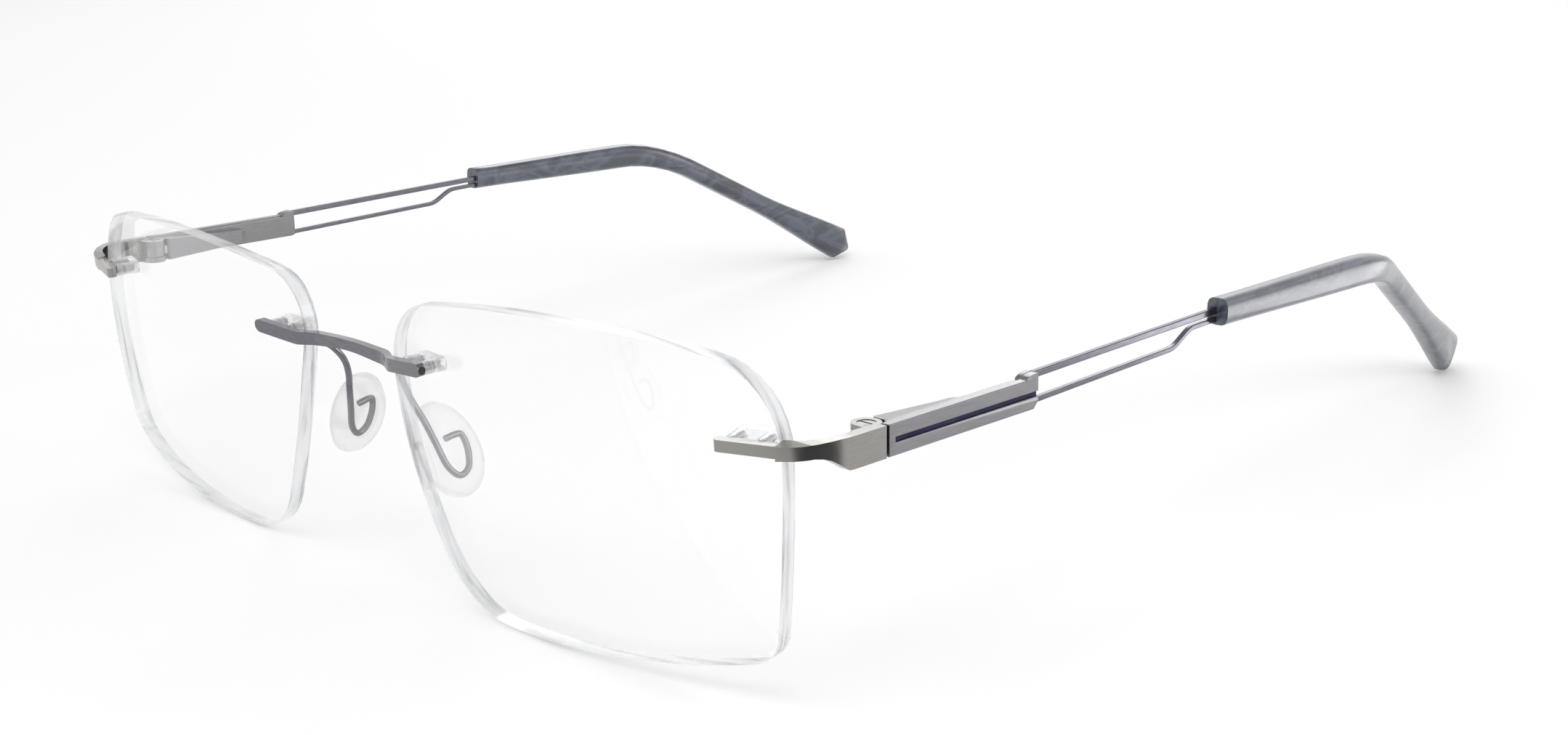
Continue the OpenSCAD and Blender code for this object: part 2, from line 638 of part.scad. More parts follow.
function tip_ring(s, w, h) =
    let(a = tip_angle(s), c = tip_point(s))
    [for (k = [0 : tip_sides - 1]) let(q = rounded(-360 * k / tip_sides, w, h))
        c + [q[0], q[1] * sin(a), q[1] * cos(a)]];
function tip_half_height(s) = mix(
    mix(mix(tip_front_height, tip_bend_height, smooth(s / tip_straight)), tip_drop_height,
        smooth((s - tip_straight) / tip_turn)),
    tip_end_height, smooth((s - tip_length + tip_flare_length) / tip_flare_length)) / 2;
function tip_half_width(s) = mix(tip_front_width, tip_end_width, s / tip_length) / 2;
function tip_end_scale(s) =
    let(t = max(0, (s - tip_length + tip_end_round) / tip_end_round)) sqrt(1 + tip_end_blunt - t * t);

module temple_tip(side) color([0.22, 0.27, 0.36]) sided(side) at_hinge() difference() {
    skin([for (i = [0 : tip_rings]) let(s = tip_length * i / tip_rings)
        tip_ring(s, tip_half_width(s) * tip_end_scale(s), tip_half_height(s) * tip_end_scale(s))]);
    tip_hole();
}

// Two mouths for the wires, then a round hole for the core
module wire_mouth(drop, height) {
    ys = [tip_start - cut_margin, tip_start + wire_grip + fit_gap];
    half = height / 2 + fit_gap;
    translate([wire_inner - fit_gap, 0, 0]) rotate([90, 0, 90])
        linear_extrude(wire_width + 2 * fit_gap)
            polygon(between([for (y = ys) [y, upper_wire_z(y) - drop - half]],
                            [for (y = ys) [y, upper_wire_z(y) - drop + half]]));
}
module tip_hole() {
    wire_mouth(0, upper_wire_height);
    wire_mouth(wire_spacing, lower_wire_height);
    tip_core_skin(core_hole_radius, wire_grip, tip_length - core_hole_margin + core_end_gap);
}

module tip_core_skin(r, from, to)
    skin([for (i = [0 : core_rings])
        let(s = mix(from, to, i / core_rings), a = tip_angle(s), c = tip_point(s))
        [for (k = [0 : core_sides - 1]) let(b = 360 * k / core_sides)
            c + r * [cos(b), -sin(b) * sin(a), -sin(b) * cos(a)]]]);

module tip_core(side) color([0.55, 0.55, 0.57]) sided(side) at_hinge()
    tip_core_skin(core_wire_radius, wire_grip + core_front_gap, tip_length - core_hole_margin);

lens(left);  // lens_left
lens(right);  // lens_right
bridge();
double_plug(left, bridge_mount_u, bridge_height);  // bridge_plug_left
double_plug(right, bridge_mount_u, bridge_height);  // bridge_plug_right
endpiece(left);  // endpiece_left
endpiece(right);  // endpiece_right
double_plug(left, endpiece_mount_u, endpiece_height);  // endpiece_plug_left
double_plug(right, endpiece_mount_u, endpiece_height);  // endpiece_plug_right
pad_arm(left);  // pad_arm_left
pad_arm(right);  // pad_arm_right
nose_pad(left);  // nose_pad_left
nose_pad(right);  // nose_pad_right
hinge_screw(left);  // hinge_screw_left
hinge_screw(right);  // hinge_screw_right
hinge_bush(left);  // hinge_bush_left
hinge_bush(right);  // hinge_bush_right
hinge_slider(left);  // hinge_slider_left
hinge_slider(right);  // hinge_slider_right
slider_nut(left);  // slider_nut_left
slider_nut(right);  // slider_nut_right
hinge_spring(left);  // hinge_spring_left
hinge_spring(right);  // hinge_spring_right
spring_housing(left);  // spring_housing_left
spring_housing(right);  // spring_housing_right
cover_plate(left);  // cover_plate_left
cover_plate(right);  // cover_plate_right
plate_inlay(left);  // plate_inlay_left
plate_inlay(right);  // plate_inlay_right
core_plate(left);  // core_plate_left
core_plate(right);  // core_plate_right
upper_wire(left);  // upper_wire_left
upper_wire(right);  // upper_wire_right
lower_wire(left);  // lower_wire_left
lower_wire(right);  // lower_wire_right
temple_tip(left);  // temple_tip_left
temple_tip(right);  // temple_tip_right
tip_core(left);  // tip_core_left
tip_core(right);  // tip_core_right
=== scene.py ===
"""Rimless eyeglasses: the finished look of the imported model."""
import json
import math

import bmesh
import bpy
from mathutils import Matrix, Vector


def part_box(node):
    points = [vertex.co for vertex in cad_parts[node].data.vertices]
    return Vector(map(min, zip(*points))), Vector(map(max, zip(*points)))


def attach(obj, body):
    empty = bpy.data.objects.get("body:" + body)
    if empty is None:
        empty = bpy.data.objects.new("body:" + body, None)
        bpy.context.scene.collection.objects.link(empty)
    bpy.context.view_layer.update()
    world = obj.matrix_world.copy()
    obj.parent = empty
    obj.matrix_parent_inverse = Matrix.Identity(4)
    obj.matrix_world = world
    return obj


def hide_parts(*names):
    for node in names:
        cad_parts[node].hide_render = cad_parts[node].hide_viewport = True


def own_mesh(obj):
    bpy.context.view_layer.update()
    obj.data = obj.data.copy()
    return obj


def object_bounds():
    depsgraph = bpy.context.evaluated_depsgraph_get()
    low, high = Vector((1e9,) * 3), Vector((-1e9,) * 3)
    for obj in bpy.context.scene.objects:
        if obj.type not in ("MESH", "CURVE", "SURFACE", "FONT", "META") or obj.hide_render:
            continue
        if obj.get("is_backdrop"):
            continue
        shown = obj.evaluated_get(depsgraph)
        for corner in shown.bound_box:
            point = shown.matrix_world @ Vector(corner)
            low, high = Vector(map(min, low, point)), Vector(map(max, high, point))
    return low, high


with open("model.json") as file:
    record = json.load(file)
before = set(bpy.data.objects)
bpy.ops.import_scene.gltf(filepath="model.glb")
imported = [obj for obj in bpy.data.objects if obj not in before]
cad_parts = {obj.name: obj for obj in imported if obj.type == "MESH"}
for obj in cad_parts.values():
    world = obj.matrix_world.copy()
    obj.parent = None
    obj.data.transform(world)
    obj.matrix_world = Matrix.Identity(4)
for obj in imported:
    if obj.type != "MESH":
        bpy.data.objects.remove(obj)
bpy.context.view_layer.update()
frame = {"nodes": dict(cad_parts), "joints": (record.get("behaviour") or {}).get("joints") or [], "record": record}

MM = 0.001
SIDES = ("left", "right")
NODES = frame["nodes"]
JOINTS = {joint["name"]: joint for joint in frame["joints"]}
BODIES = frame["record"]["behaviour"]["bodies"]
BODY_OF = {node: body for body, nodes in BODIES.items() for node in nodes}


# ---------------------------------------------------------------- node helpers

def material(name):
    """A new node material and its main shader."""
    mat = bpy.data.materials.new(name)
    mat.use_nodes = True
    return mat, mat.node_tree.nodes["Principled BSDF"]


def add(mat, kind, **inputs):
    """Adds a node. Inputs are set by name, with _ for a space."""
    node = mat.node_tree.nodes.new(kind)
    for key, value in inputs.items():
        node.inputs[key.replace("_", " ")].default_value = value
    return node


def link(mat, out_socket, in_socket):
    mat.node_tree.links.new(out_socket, in_socket)


def stretched_noise(mat, stretch, scale, detail=3.0, distortion=0.0):
    """Noise in object space, squeezed by stretch along each axis."""
    place = add(mat, "ShaderNodeTexCoord")
    mapping = add(mat, "ShaderNodeMapping", Scale=stretch)
    noise = add(mat, "ShaderNodeTexNoise", Scale=scale, Detail=detail, Distortion=distortion)
    link(mat, place.outputs["Object"], mapping.inputs["Vector"])
    link(mat, mapping.outputs["Vector"], noise.inputs["Vector"])
    return noise


def ramp(mat, source, stops):
    """A colour ramp of (position, colour) stops on a 0 to 1 source."""
    node = add(mat, "ShaderNodeValToRGB")
    elements = node.color_ramp.elements
    elements[0].position, elements[0].color = stops[0][0], (*stops[0][1], 1)
    elements[1].position, elements[1].color = stops[-1][0], (*stops[-1][1], 1)
    for position, colour in stops[1:-1]:
        elements.new(position).color = (*colour, 1)
    link(mat, source, node.inputs["Fac"])
    return node


def span(mat, source, low, high):
    """Maps a 0 to 1 source to low to high."""
    node = add(mat, "ShaderNodeMapRange", To_Min=low, To_Max=high)
    link(mat, source, node.inputs["Value"])
    return node.outputs["Result"]


def bump(mat, shader, source, strength, depth):
    node = add(mat, "ShaderNodeBump", Strength=strength, Distance=depth)
    link(mat, source, node.inputs["Height"])
    link(mat, node.outputs["Normal"], shader.inputs["Normal"])


# ---------------------------------------------------------------- materials

def brushed_metal(name, dark, light, roughness, along=(1, 0.04, 1), relief=0.12):
    """Metal with fine brush lines. along is small in the direction that the lines run."""
    mat, shader = material(name)
    lines = stretched_noise(mat, along, 15000, detail=3)
    cloud = stretched_noise(mat, (1, 0.4, 1), 420, detail=3)
    colour = ramp(mat, lines.outputs["Fac"], [(0.3, dark), (0.7, light)])
    link(mat, colour.outputs["Color"], shader.inputs["Base Color"])
    gloss = span(mat, cloud.outputs["Fac"], roughness * 0.75, roughness * 1.25)
    link(mat, gloss, shader.inputs["Roughness"])
    bump(mat, shader, lines.outputs["Fac"], relief, 0.01 * MM)
    shader.inputs["Metallic"].default_value = 1.0
    return mat


def clear_plastic(name, tint, roughness, facing, grazing, ior=1.46):
    """Clear plastic: almost unseen face on, and stronger where it is seen at a slant."""
    mat, shader = material(name)
    slant = add(mat, "ShaderNodeLayerWeight", Blend=0.35)
    link(mat, span(mat, slant.outputs["Facing"], facing, grazing), shader.inputs["Alpha"])
    shader.inputs["Base Color"].default_value = (*tint, 1)
    shader.inputs["Roughness"].default_value = roughness
    shader.inputs["IOR"].default_value = ior
    shader.inputs["Transmission Weight"].default_value = 1.0
    return mat


def lens_edge():
    """The ground and polished edge of a lens: pale, with streaks that run along it."""
    mat, shader = material("lens_edge")
    streaks = stretched_noise(mat, (0.08, 1, 0.08), 1500, detail=3, distortion=0.3)
    colour = ramp(mat, streaks.outputs["Fac"], [
        (0.3, (0.13, 0.135, 0.155)), (0.42, (0.4, 0.41, 0.43)),
        (0.54, (0.6, 0.61, 0.62)), (0.75, (0.75, 0.76, 0.77))])
    link(mat, colour.outputs["Color"], shader.inputs["Base Color"])
    link(mat, span(mat, streaks.outputs["Fac"], 0.95, 0.35), shader.inputs["Alpha"])
    shader.inputs["Roughness"].default_value = 0.12
    shader.inputs["IOR"].default_value = 1.5
    shader.inputs["Transmission Weight"].default_value = 0.35
    return mat


def lens_line_painted_reflection():
    """The thin bevel round a lens's edges: grey with darker runs, a painted reflection for the dark line that
    reflection inside the lens gives there.
    """
    mat, shader = material("lens_line_painted_reflection")
    runs = stretched_noise(mat, (0.3, 1, 0.3), 260, detail=3, distortion=0.5)
    colour = ramp(mat, runs.outputs["Fac"], [
        (0.36, (0.05, 0.05, 0.07)), (0.46, (0.2, 0.205, 0.22)), (0.6, (0.42, 0.43, 0.44))])
    link(mat, colour.outputs["Color"], shader.inputs["Base Color"])
    link(mat, span(mat, runs.outputs["Fac"], 1.0, 0.1), shader.inputs["Alpha"])
    shader.inputs["Roughness"].default_value = 0.15
    shader.inputs["IOR"].default_value = 1.5
    return mat


def silicone():
    mat, shader = material("pad_silicone")
    cloud = stretched_noise(mat, (1, 1, 1), 700, detail=3)
    colour = ramp(mat, cloud.outputs["Fac"], [(0.35, (0.5, 0.5, 0.49)), (0.65, (0.6, 0.6, 0.59))])
    slant = add(mat, "ShaderNodeLayerWeight", Blend=0.4)
    link(mat, colour.outputs["Color"], shader.inputs["Base Color"])
    link(mat, span(mat, slant.outputs["Facing"], 0.08, 0.6), shader.inputs["Alpha"])
    bump(mat, shader, cloud.outputs["Fac"], 0.1, 0.02 * MM)
    shader.inputs["Roughness"].default_value = 0.22
    shader.inputs["IOR"].default_value = 1.41
    shader.inputs["Transmission Weight"].default_value = 0.5
    shader.inputs["Coat Weight"].default_value = 0.3
    return mat


def acetate():
    """Marbled dark blue grey, satin polished."""
    mat, shader = material("tip_acetate")
    marble = stretched_noise(mat, (1, 0.4, 1), 260, detail=5, distortion=1.6)
    grain = stretched_noise(mat, (1, 0.3, 1), 2400, detail=3)
    colour = ramp(mat, marble.outputs["Fac"], [
        (0.3, (0.014, 0.018, 0.03)), (0.46, (0.024, 0.031, 0.05)),
        (0.56, (0.06, 0.072, 0.1)), (0.66, (0.02, 0.027, 0.044)), (0.8, (0.085, 0.098, 0.125))])
    link(mat, colour.outputs["Color"], shader.inputs["Base Color"])
    link(mat, span(mat, grain.outputs["Fac"], 0.26, 0.42), shader.inputs["Roughness"])
    bump(mat, shader, grain.outputs["Fac"], 0.12, 0.02 * MM)
    shader.inputs["IOR"].default_value = 1.5
    shader.inputs["Coat Weight"].default_value = 1.0
    shader.inputs["Coat Roughness"].default_value = 0.22
    return mat


def lacquer():
    mat, shader = material("inlay_paint")
    cloud = stretched_noise(mat, (1, 0.2, 1), 1800, detail=3)
    colour = ramp(mat, cloud.outputs["Fac"], [(0.3, (0.01, 0.01, 0.035)), (0.7, (0.024, 0.024, 0.062))])
    link(mat, colour.outputs["Color"], shader.inputs["Base Color"])
    shader.inputs["Roughness"].default_value = 0.6
    shader.inputs["Specular IOR Level"].default_value = 0.15
    return mat


# Painted shade: a near black for the insides of hollows and gaps, where shade falls.
def painted_hollow_shade():
    mat, shader = material("painted_hollow_shade")
    cloud = stretched_noise(mat, (1, 1, 1), 3000, detail=2)
    colour = ramp(mat, cloud.outputs["Fac"],
                  [(0.3, (0.006, 0.006, 0.007)), (0.7, (0.016, 0.016, 0.018))])
    link(mat, colour.outputs["Color"], shader.inputs["Base Color"])
    shader.inputs["Roughness"].default_value = 0.7
    return mat


def acetal():
    mat, shader = material("bush_plastic")
    cloud = stretched_noise(mat, (1, 1, 1), 1500, detail=2)
    colour = ramp(mat, cloud.outputs["Fac"], [(0.3, (0.72, 0.7, 0.63)), (0.7, (0.8, 0.78, 0.71))])
    link(mat, colour.outputs["Color"], shader.inputs["Base Color"])
    shader.inputs["Roughness"].default_value = 0.5
    return mat


SILVER = brushed_metal("endpiece_metal", (0.262, 0.253, 0.239), (0.33, 0.319, 0.302), 0.22)
PLATE_METAL = brushed_metal("plate_metal", (0.205, 0.2, 0.212), (0.27, 0.264, 0.278), 0.24)
GUNMETAL = brushed_metal("wire_metal", (0.12, 0.115, 0.135), (0.2, 0.192, 0.22), 0.2)
BAR_METAL = brushed_metal("bridge_metal", (0.14, 0.136, 0.152), (0.21, 0.204, 0.226), 0.19,
                          along=(0.04, 1, 1))
CORE_METAL = brushed_metal("core_metal", (0.19, 0.187, 0.19), (0.25, 0.246, 0.25), 0.24)
STEEL = brushed_metal("hinge_steel", (0.25, 0.25, 0.255), (0.36, 0.36, 0.365), 0.2,
                      along=(1, 1, 0.2))
LENS = clear_plastic("lens_clear", (0.985, 0.99, 0.992), 0.0, 0.03, 0.3, ior=1.5)
PLUG = clear_plastic("plug_clear", (0.86, 0.88, 0.9), 0.05, 0.4, 0.9)
LENS_EDGE = lens_edge()
# The lens bevel's grey and dark runs are a painted reflection.
LENS_PAINTED_REFLECTION = lens_line_painted_reflection()
SILICONE = silicone()
ACETATE = acetate()
LACQUER = lacquer()
HOLLOW_SHADE = painted_hollow_shade()
ACETAL = acetal()


# ---------------------------------------------------------------- pieces

def new_object(name, mesh, materials, body):
    piece = bpy.data.objects.new(name, mesh)
    bpy.context.scene.collection.objects.link(piece)
    mesh.materials.clear()
    for mat in materials:
        mesh.materials.append(mat)
    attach(piece, body)
    return piece


SHARP_ANGLE = 38
FLAT_ANGLE = math.radians(0.25)
WELD_DISTANCE = 1e-7


def shade(mesh, angle=SHARP_ANGLE):
    """Smooth shading that keeps every edge sharper than the angle."""
    mesh.polygons.foreach_set("use_smooth", [True] * len(mesh.polygons))
    mesh.set_sharp_from_angle(angle=math.radians(angle))


def soften(piece, width, angle=SHARP_ANGLE, segments=3):
    """Rounds off the piece's edges that are sharper than the angle."""
    modifier = piece.modifiers.new("soft_edges", "BEVEL")
    modifier.width = width
    modifier.segments = segments
    modifier.limit_method = "ANGLE"
    modifier.angle_limit = math.radians(angle)
    modifier.harden_normals = True
    modifier.use_clamp_overlap = True
    return modifier


def finished(node, mat, bevel=0.0, angle=SHARP_ANGLE, materials=None, pick=None):
    """A piece that stands for a CAD node: its own mesh, with merged flat faces and soft edges."""
    shape = bmesh.new()
    shape.from_mesh(NODES[node].data)
    bmesh.ops.remove_doubles(shape, verts=shape.verts, dist=WELD_DISTANCE)
    bmesh.ops.dissolve_limit(shape, angle_limit=FLAT_ANGLE, verts=shape.verts, edges=shape.edges)
    mesh = bpy.data.meshes.new(node + "_finished")
    shape.to_mesh(mesh)
    shape.free()
    piece = new_object(node + "_finished", mesh, materials or [mat], BODY_OF[node])
    if pick:
        for face in mesh.polygons:
            face.material_index = pick(face)
    shade(mesh, angle)
    if bevel:
        soften(piece, bevel, angle)
    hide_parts(node)
    return piece


# node name, material slot, material, edge softening in metres
FINISHES = [
    ("endpiece", "endpiece_metal", SILVER, 0.16 * MM),
    ("cover_plate", "endpiece_metal", PLATE_METAL, 0.14 * MM),
    ("spring_housing", "endpiece_metal", PLATE_METAL, 0.14 * MM),
    ("core_plate", "core_metal", CORE_METAL, 0.1 * MM),
    ("upper_wire", "wire_metal", GUNMETAL, 0.13 * MM),
    ("lower_wire", "wire_metal", GUNMETAL, 0.11 * MM),
    ("plate_inlay", "inlay_paint", LACQUER, 0.02 * MM),
    ("pad_arm", "bridge_metal", BAR_METAL, 0.0),
    ("hinge_screw", "hinge_steel", STEEL, 0.03 * MM),
    ("hinge_bush", "bush_plastic", ACETAL, 0.0),
    ("hinge_slider", "hinge_steel", STEEL, 0.04 * MM),
    ("slider_nut", "hinge_steel", STEEL, 0.03 * MM),
    ("tip_core", "core_metal", CORE_METAL, 0.0),
    ("bridge_plug", "plug_clear", PLUG, 0.08 * MM),
    ("endpiece_plug", "plug_clear", PLUG, 0.08 * MM),
]
for side in SIDES:
    for part, slot, mat, bevel in FINISHES:
        finished(f"{part}_{side}", mat, bevel)
    finished(f"temple_tip_{side}", ACETATE, 0.22 * MM, angle=50)
finished("bridge", BAR_METAL, 0.24 * MM)


# Each coil: a finished piece with a mesh of its own. The middle of its rear end, which the nut holds, is worked
# out but not used, and nothing here shortens the coil as its housing is pulled back.
for side in SIDES:
    joint = JOINTS[f"{side}_spring_slide"]
    coil = finished(f"hinge_spring_{side}", STEEL)
    low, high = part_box(f"hinge_spring_{side}")
    rear = (low + high) / 2
    rear.y = high.y
    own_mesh(coil)


# Lenses: the curved faces are clear, and the edge and the drilled holes have the streaked finish
FORWARD = -0.8
EDGE_SLANT = 0.45
RIM_ANGLE = math.radians(45)
CHAMFER = 0.16 * MM
LONGEST_HOLE_EDGE = 0.25 * MM


def lens_axis(side):
    """The direction that a lens faces, as the mean of its forward face normals."""
    total = Vector()
    for face in NODES[f"lens_{side}"].data.polygons:
        if face.normal.y < FORWARD:
            total += face.normal * face.area
    return total.normalized()


def chamfer_rim(lens):
    """Bevels the lens's outer edges, not its drilled holes, in the third material, the grey and dark painted
    reflection line.

    The overlap clamp keeps this bevel far narrower than CHAMFER, so it hardly shows.
    """
    shape = bmesh.new()
    shape.from_mesh(lens.data)
    weight = shape.edges.layers.float.new("bevel_weight_edge")
    for edge in shape.edges:
        sharp = edge.is_manifold and edge.calc_face_angle() > RIM_ANGLE
        edge[weight] = 1.0 if sharp and edge.calc_length() > LONGEST_HOLE_EDGE else 0.0
    shape.to_mesh(lens.data)
    shape.free()
    modifier = soften(lens, CHAMFER, segments=2)
    modifier.limit_method = "WEIGHT"
    modifier.material = 2


for side in SIDES:
    axis = lens_axis(side)
    lens = finished(f"lens_{side}", LENS, angle=45,
                    materials=[LENS, LENS_EDGE, LENS_PAINTED_REFLECTION],
                    pick=lambda face: 1 if abs(face.normal.dot(axis)) < EDGE_SLANT else 0)
    chamfer_rim(lens)


# Nose pads: a soft oval, thickest in the middle, with a thin raised rim near its edge
def pad_frame(side):
    """Points, middle and axes of the CAD pad: across its thickness, its width and its length.

    The length is the widest gap between two samples of its points.
    """
    points = [v.co.copy() for v in NODES[f"nose_pad_{side}"].data.vertices]
    middle = sum(points, Vector()) / len(points)
    longest = max((a - b for a in points[::7] for b in points[::5]), key=lambda gap: gap.length)
    length_axis = longest.normalized()
    if length_axis.z < 0:
        length_axis.negate()
    across = Vector()
    for face in NODES[f"nose_pad_{side}"].data.polygons:
        normal = face.normal if face.normal.x > 0 else -face.normal
        across += normal * face.area
    thickness_axis = (across - length_axis * across.dot(length_axis)).normalized()
    width_axis = length_axis.cross(thickness_axis)
    return points, middle, thickness_axis, width_axis, length_axis


def extent(points, middle, axis):
    reach = [(p - middle).dot(axis) for p in points]
    return min(reach), max(reach)


PAD_RINGS = 14
PAD_STEPS = 56
PAD_RIM_START = 0.8
PAD_RIM_WIDTH = 0.035
PAD_RIM_HEIGHT = 0.09 * MM
PAD_EDGE_POWER = 2.6
PAD_TAPER = 0.06
PAD_FULLNESS = (0.97, 0.985)  # share of the CAD pad's thickness, and of its width and length
PAD_SMOOTH_ANGLE = 60
PAD_WELD_DISTANCE = 1e-6


def soft_pad(side):
    points, middle, *axes = pad_frame(side)
    spans = [extent(points, middle, axis) for axis in axes]
    centre = middle + sum((axis * (lo + hi) / 2 for axis, (lo, hi) in zip(axes, spans)), Vector())
    half_t, half_w, half_l = (share * (hi - lo) / 2 for share, (lo, hi)
                              in zip((PAD_FULLNESS[0], PAD_FULLNESS[1], PAD_FULLNESS[1]), spans))
    across, wide, tall = axes
    shape = bmesh.new()
    for face_sign in (1, -1):
        rings = []
        for i in range(1, PAD_RINGS + 1):
            r = i / PAD_RINGS
            swell = half_t * math.sqrt(max(0.0, 1 - r ** PAD_EDGE_POWER))
            rim = PAD_RIM_HEIGHT * math.exp(-((r - PAD_RIM_START) / PAD_RIM_WIDTH) ** 2)
            ring = []
            for k in range(PAD_STEPS):
                a = 2 * math.pi * k / PAD_STEPS
                narrow = 1 - PAD_TAPER * math.sin(a)
                ring.append(shape.verts.new(centre + across * face_sign * (swell + rim)
                                            + wide * (r * half_w * math.cos(a) * narrow)
                                            + tall * (r * half_l * math.sin(a))))
            rings.append(ring)
        hub = shape.verts.new(centre + across * face_sign * half_t)
        for k in range(PAD_STEPS):
            shape.faces.new((hub, rings[0][k], rings[0][(k + 1) % PAD_STEPS]))
        for inner, outer in zip(rings, rings[1:]):
            for k in range(PAD_STEPS):
                n = (k + 1) % PAD_STEPS
                shape.faces.new((inner[k], outer[k], outer[n], inner[n]))
    bmesh.ops.remove_doubles(shape, verts=shape.verts, dist=PAD_WELD_DISTANCE)
    bmesh.ops.recalc_face_normals(shape, faces=shape.faces)
    mesh = bpy.data.meshes.new(f"nose_pad_{side}_soft")
    shape.to_mesh(mesh)
    shape.free()
    return mesh


for side in SIDES:
    mesh = soft_pad(side)
    pad = new_object(mesh.name, mesh, [SILICONE], "front")
    shade(mesh, PAD_SMOOTH_ANGLE)
    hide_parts(f"nose_pad_{side}")


TURNED_STEPS = 32
TURNED_SHARP_ANGLE = 35


def turned(name, profile, origin, axis, mat, body):
    """A turned detail: profile points (radius, height) swept round an axis."""
    shape = bmesh.new()
    turn = axis.normalized().to_track_quat("Z", "Y").to_matrix()
    rings = []
    for radius, height in profile:
        ring = []
        for k in range(TURNED_STEPS):
            a = 2 * math.pi * k / TURNED_STEPS
            spot = Vector((radius * math.cos(a), radius * math.sin(a), height))
            ring.append(shape.verts.new(origin + turn @ spot))
        rings.append(ring)
    for low, high in zip(rings, rings[1:]):
        for k in range(TURNED_STEPS):
            n = (k + 1) % TURNED_STEPS
            shape.faces.new((low[k], low[n], high[n], high[k]))
    shape.faces.new(reversed(rings[0]))
    shape.faces.new(rings[-1])
    bmesh.ops.recalc_face_normals(shape, faces=shape.faces)
    mesh = bpy.data.meshes.new(name)
    shape.to_mesh(mesh)
    shape.free()
    shade(mesh, TURNED_SHARP_ANGLE)
    return new_object(name, mesh, [mat], body)


# The blind recess in each end of the bridge: a cup in painted shade, near black, just proud of the end face
RECESS_RADIUS = 0.45 * MM
RECESS_DEPTH = 0.2 * MM
RECESS_PROUD = 0.015 * MM
END_SLICE = 0.35 * MM
for side, sign in (("left", 1), ("right", -1)):
    verts = [v.co for v in NODES["bridge"].data.vertices]
    reach = max(v.x * sign for v in verts)
    end = [v for v in verts if v.x * sign > reach - END_SLICE]
    low_y, low_z = min(v.y for v in end), min(v.z for v in end)
    high_y, high_z = max(v.y for v in end), max(v.z for v in end)
    tip = Vector((sign * reach, (low_y + high_y) / 2, (low_z + high_z) / 2))
    turned(f"bridge_recess_shade_{side}", [(RECESS_RADIUS, -RECESS_DEPTH), (RECESS_RADIUS, RECESS_PROUD)], tip,
           Vector((sign, 0, 0)), HOLLOW_SHADE, "front")

# The dark line round each screw head is painted shade, for the shade in the gap round the head
SHADE_RING_RADIUS = 0.98 * MM
SHADE_RING_BOTTOM = -0.18 * MM
SHADE_RING_TOP = -0.056 * MM
for side in SIDES:
    joint = JOINTS[f"{side}_temple_fold"]
    up = Vector(joint["axis"])
    up = up if up.z > 0 else -up
    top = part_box(f"hinge_screw_{side}")[1].z
    origin = Vector(joint["pos_m"])
    origin += up * ((top - origin.z) / up.z)
    turned(f"screw_shade_ring_{side}", [(SHADE_RING_RADIUS, SHADE_RING_BOTTOM), (SHADE_RING_RADIUS, SHADE_RING_TOP)], origin, up,
           HOLLOW_SHADE, "front")


# ---------------------------------------------------------------- stage, light and camera

def stage_plane(name, size, centre, colour, turn=Matrix.Identity(3), roughness=0.9):
    shape = bmesh.new()
    corners = [shape.verts.new(centre + turn @ Vector((x * size[0] / 2, y * size[1] / 2, 0)))
               for x, y in ((-1, -1), (1, -1), (1, 1), (-1, 1))]
    shape.faces.new(corners)
    mesh = bpy.data.meshes.new(name)
    shape.to_mesh(mesh)
    shape.free()
    mat, shader = material(name)
    shader.inputs["Base Color"].default_value = (*colour, 1)
    shader.inputs["Roughness"].default_value = roughness
    mesh.materials.append(mat)
    plane = bpy.data.objects.new(name, mesh)
    bpy.context.scene.collection.objects.link(plane)
    plane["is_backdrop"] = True
    return plane


FLOOR_SIZE = 6.0
FLOOR_DROP = 0.3 * MM
stage_plane("floor", (FLOOR_SIZE, FLOOR_SIZE), Vector((0, 0, -FLOOR_DROP)), (0.93, 0.93, 0.935))

# A white room. It is brightest a little above the horizon, where the top faces of the metal look
SKY = [(0.0, 0.62), (0.12, 0.75), (0.28, 1.0), (0.5, 0.56), (1.0, 0.36)]
SKY_STRENGTH = 1.36
world = bpy.data.worlds.new("studio")
bpy.context.scene.world = world
world.use_nodes = True
room = world.node_tree
direction = room.nodes.new("ShaderNodeTexCoord")
split = room.nodes.new("ShaderNodeSeparateXYZ")
height = room.nodes.new("ShaderNodeValToRGB")
stops = height.color_ramp.elements
for place, level in SKY[1:-1]:
    stops.new(place)
for stop, (place, level) in zip(stops, SKY):
    stop.position = place
    stop.color = (level, level, level, 1)
room.links.new(direction.outputs["Generated"], split.inputs["Vector"])
room.links.new(split.outputs["Z"], height.inputs["Fac"])
room.links.new(height.outputs["Color"], room.nodes["Background"].inputs["Color"])
room.nodes["Background"].inputs["Strength"].default_value = SKY_STRENGTH
bpy.context.scene.view_settings.view_transform = "Standard"


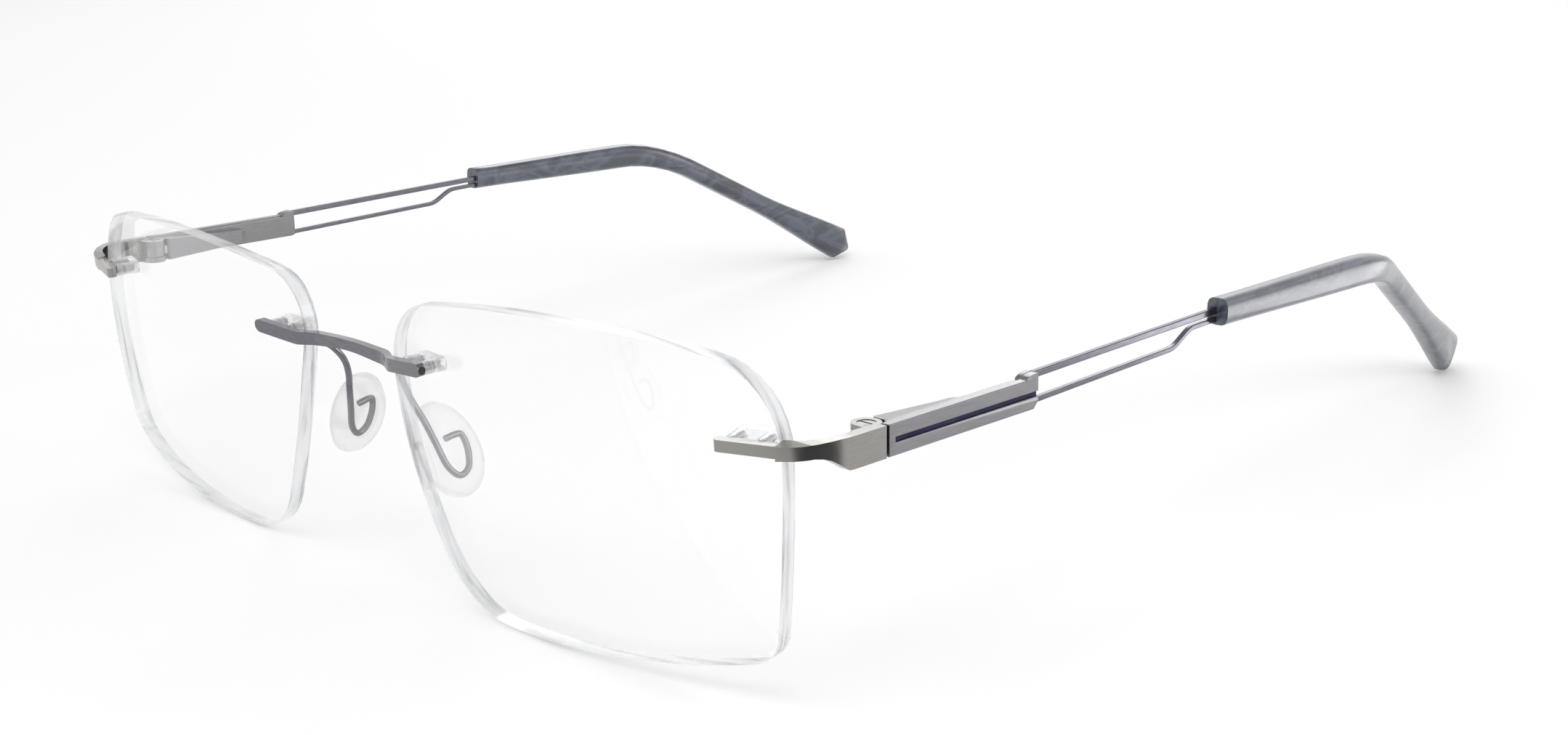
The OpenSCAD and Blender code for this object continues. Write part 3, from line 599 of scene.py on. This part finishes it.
def reflected_card(name, size, centre, turn, colour, glow=0.0):
    """A card at floor level that shows only in reflections."""
    plane = stage_plane(name, size, centre, colour, Matrix.Rotation(math.radians(turn), 3, "Z"))
    shader = plane.data.materials[0].node_tree.nodes["Principled BSDF"]
    shader.inputs["Emission Color"].default_value = (1, 1, 1, 1)
    shader.inputs["Emission Strength"].default_value = glow
    plane.visible_camera = False
    plane.visible_diffuse = False
    plane.visible_shadow = False
    plane.visible_transmission = False


# Dark in front of the bend of the endpiece, and bright beside the temple tip
reflected_card("dark_card", (0.11, 0.14), Vector((0.135, -0.13, 0.001)), -45, (0.01, 0.01, 0.012))
reflected_card("bright_card", (0.16, 0.17), Vector((0.165, 0.135, 0.001)), 0, (0.9, 0.9, 0.9), glow=2.4)


def soft_light(name, place, aim, size, power, colour=(1, 1, 1)):
    data = bpy.data.lights.new(name, "AREA")
    data.shape = "RECTANGLE"
    data.size, data.size_y = size
    data.energy = power
    data.color = colour
    light = bpy.data.objects.new(name, data)
    light.location = place
    light.rotation_mode = "QUATERNION"
    light.rotation_quaternion = (Vector(aim) - Vector(place)).to_track_quat("-Z", "Y")
    bpy.context.scene.collection.objects.link(light)


soft_light("key", (0.1, -0.35, 0.8), (0, 0, 0.02), (0.7, 0.5), 2.0)
soft_light("side", (0.75, 0.25, 0.35), (0.05, 0, 0.02), (0.5, 0.35), 1.65)
soft_light("rim", (-0.5, 0.6, 0.5), (0, 0, 0.02), (0.5, 0.4), 1.3)

CAMERA_PLACE = Vector((0.1905, -0.1935, 0.0889))
CAMERA_AZIMUTH = 44.98
CAMERA_ELEVATION = 16.79
CAMERA_ROLL = -2.61
FOCAL_LENGTH = 47.75
az, el, roll = map(math.radians, (CAMERA_AZIMUTH, CAMERA_ELEVATION, CAMERA_ROLL))
back = Vector((math.sin(az) * math.cos(el), -math.cos(az) * math.cos(el), math.sin(el)))
right0 = Vector((math.cos(az), math.sin(az), 0))
up0 = back.cross(right0)
right = right0 * math.cos(roll) + up0 * math.sin(roll)
up = back.cross(right)
camera_data = bpy.data.cameras.new("camera")
camera_data.sensor_width = 36
camera_data.lens = FOCAL_LENGTH
camera_data.clip_start = 0.01
camera = bpy.data.objects.new("camera", camera_data)
camera.matrix_world = Matrix.Translation(CAMERA_PLACE) @ Matrix((right, up, back)).transposed().to_4x4()
bpy.context.scene.collection.objects.link(camera)
bpy.context.scene.camera = camera

low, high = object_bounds()
